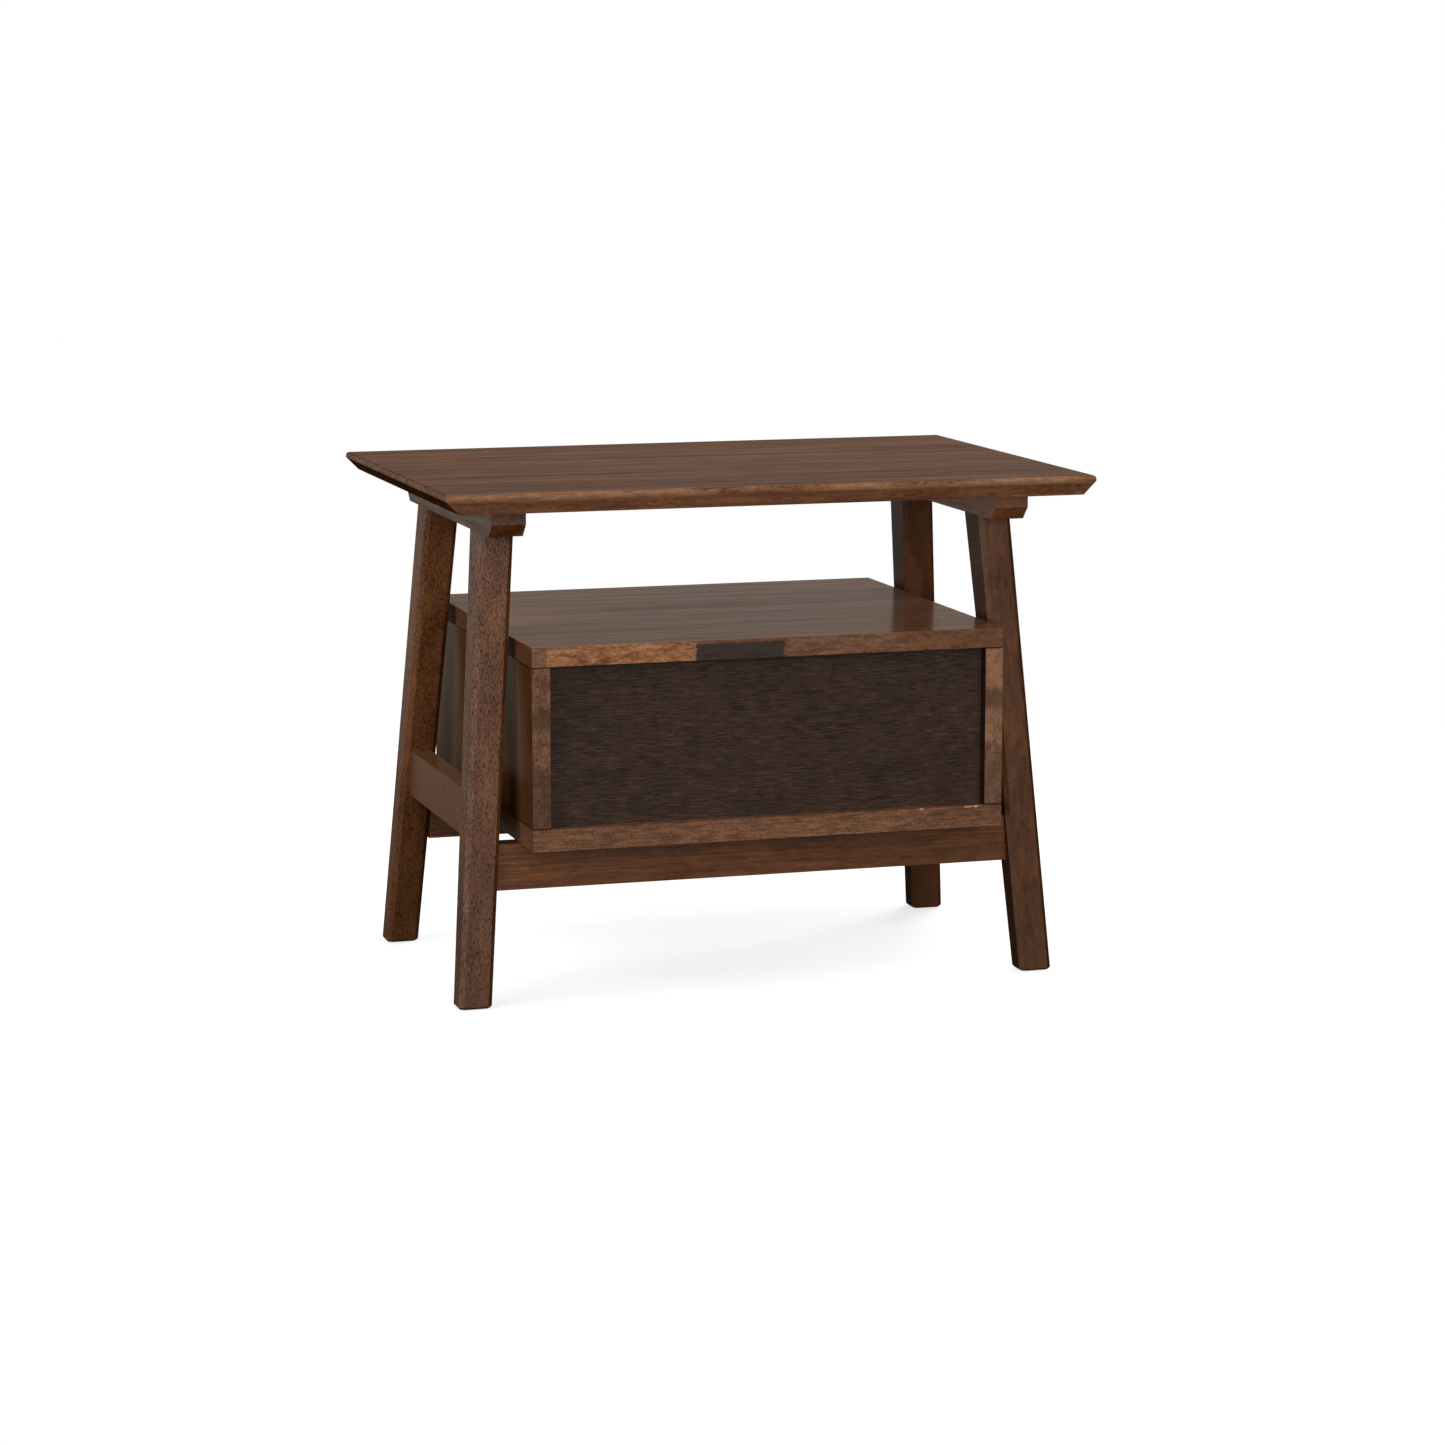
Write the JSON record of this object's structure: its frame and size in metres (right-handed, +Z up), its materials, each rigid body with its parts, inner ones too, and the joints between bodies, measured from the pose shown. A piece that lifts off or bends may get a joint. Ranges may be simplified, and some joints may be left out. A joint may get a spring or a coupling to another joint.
{
  "type": "side table with drawer",
  "caption": "Low wooden side table on splayed tapered legs, with a bevelled top over an open shelf and a drawer case with an inset drawer on ball bearing slides.",
  "frame": {"origin": "on the floor, under the middle of the table", "axes": "+Z up, +X to the right of a person who faces the drawer, and the drawer opens towards -Y"},
  "size_m": [0.645, 0.445, 0.5],
  "materials": {
    "stained_wood": "dark brown stain under a semi-gloss lacquer",
    "stained_plywood": "very dark stain, matt",
    "pale_wood": "clear satin",
    "zinc_steel": "bright zinc plate",
    "black_nylon": "moulded"
  },
  "bodies": {
    "frame": {"table_top": "stained_wood", "bearer_left": "stained_wood", "bearer_right": "stained_wood", "leg_front_left": "stained_wood", "leg_front_right": "stained_wood", "leg_back_left": "stained_wood", "leg_back_right": "stained_wood", "front_rail": "stained_wood", "back_rail": "stained_wood", "side_rail_left": "stained_wood", "side_rail_right": "stained_wood", "case_lid": "stained_wood", "case_floor": "stained_wood", "case_side_left": "stained_wood", "case_side_right": "stained_wood", "case_back_panel": "stained_plywood", "dowel_upper_left_front": "pale_wood", "dowel_upper_left_back": "pale_wood", "dowel_upper_right_front": "pale_wood", "dowel_upper_right_back": "pale_wood", "dowel_lower_left_front": "pale_wood", "dowel_lower_left_back": "pale_wood", "dowel_lower_right_front": "pale_wood", "dowel_lower_right_back": "pale_wood", "slide_left_cabinet_member": "zinc_steel", "slide_right_cabinet_member": "zinc_steel", "slide_screw_left_case_front": "zinc_steel", "slide_screw_left_case_back": "zinc_steel", "slide_screw_right_case_front": "zinc_steel", "slide_screw_right_case_back": "zinc_steel", "top_screw_left_front": "zinc_steel", "top_screw_left_middle": "zinc_steel", "top_screw_left_back": "zinc_steel", "top_screw_right_front": "zinc_steel", "top_screw_right_middle": "zinc_steel", "top_screw_right_back": "zinc_steel", "case_screw_left_front": "zinc_steel", "case_screw_left_back": "zinc_steel", "case_screw_right_front": "zinc_steel", "case_screw_right_back": "zinc_steel", "glide_front_left": "black_nylon", "glide_front_right": "black_nylon", "glide_back_left": "black_nylon", "glide_back_right": "black_nylon"},
    "drawer": {"drawer_front": "stained_wood", "drawer_box_front": "pale_wood", "drawer_box_back": "pale_wood", "drawer_box_side_left": "pale_wood", "drawer_box_side_right": "pale_wood", "drawer_bottom": "pale_wood", "drawer_front_screw_left": "zinc_steel", "drawer_front_screw_right": "zinc_steel", "slide_left_drawer_member": "zinc_steel", "slide_right_drawer_member": "zinc_steel", "slide_screw_left_drawer_front": "zinc_steel", "slide_screw_left_drawer_back": "zinc_steel", "slide_screw_right_drawer_front": "zinc_steel", "slide_screw_right_drawer_back": "zinc_steel"},
    "slide_middle_left": {"slide_left_middle_member": "zinc_steel"},
    "slide_middle_right": {"slide_right_middle_member": "zinc_steel"}
  },
  "joints": [
    {"name": "drawer_slide", "type": "slide", "parent": "frame", "child": "drawer", "axis": [0, -1, 0], "range_m": [0, 0.32]},
    {"name": "middle_slide_left", "type": "slide", "parent": "frame", "child": "slide_middle_left", "axis": [0, -1, 0], "range_m": [0, 0.16]},
    {"name": "middle_slide_right", "type": "slide", "parent": "frame", "child": "slide_middle_right", "axis": [0, -1, 0], "range_m": [0, 0.16]}
  ],
  "couplings": [
    {"joint": "middle_slide_left", "follows": "drawer_slide", "ratio": 0.5},
    {"joint": "middle_slide_right", "follows": "drawer_slide", "ratio": 0.5}
  ]
}
